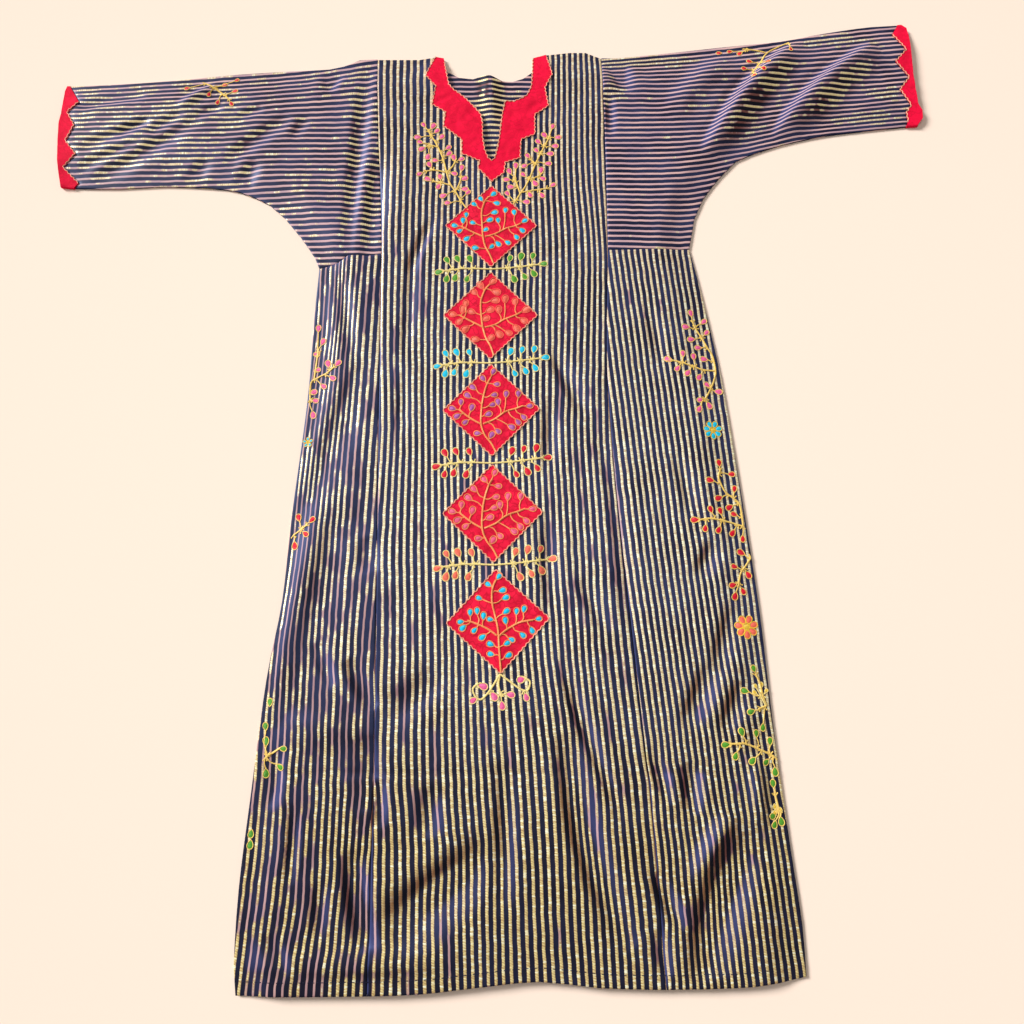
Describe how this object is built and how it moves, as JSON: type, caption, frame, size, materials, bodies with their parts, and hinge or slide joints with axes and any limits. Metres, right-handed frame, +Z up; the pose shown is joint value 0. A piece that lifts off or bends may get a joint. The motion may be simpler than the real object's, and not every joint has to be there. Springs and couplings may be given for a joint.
{
  "type": "kaftan",
  "caption": "Long striped kaftan laid flat, with wide sleeves, red toothed neck facing and cuffs, and red square patches set on their points down the front.",
  "frame": {"origin": "on the floor under the middle of the laid-out garment's footprint", "axes": "+Z up from the floor, +Y from the hem towards the neck, +X to the viewer's right with the front up"},
  "size_m": [1.3857, 1.4463, 0.0206],
  "materials": {
    "striped_cloth": "navy satin with woven metallic stripes",
    "red_cotton": "matt plain weave",
    "thread": "silky embroidery thread"
  },
  "bodies": {
    "root": {"front_center": "striped_cloth", "front_side_left": "striped_cloth", "front_side_right": "striped_cloth", "back_center": "striped_cloth", "back_side_left": "striped_cloth", "back_side_right": "striped_cloth", "sleeve_left": "striped_cloth", "sleeve_right": "striped_cloth", "back_neck_facing": "striped_cloth", "neck_facing": "red_cotton", "cuff_left": "red_cotton", "cuff_right": "red_cotton", "diamond_1": "red_cotton", "diamond_2": "red_cotton", "diamond_3": "red_cotton", "diamond_4": "red_cotton", "diamond_5": "red_cotton"}
  },
  "joints": []
}
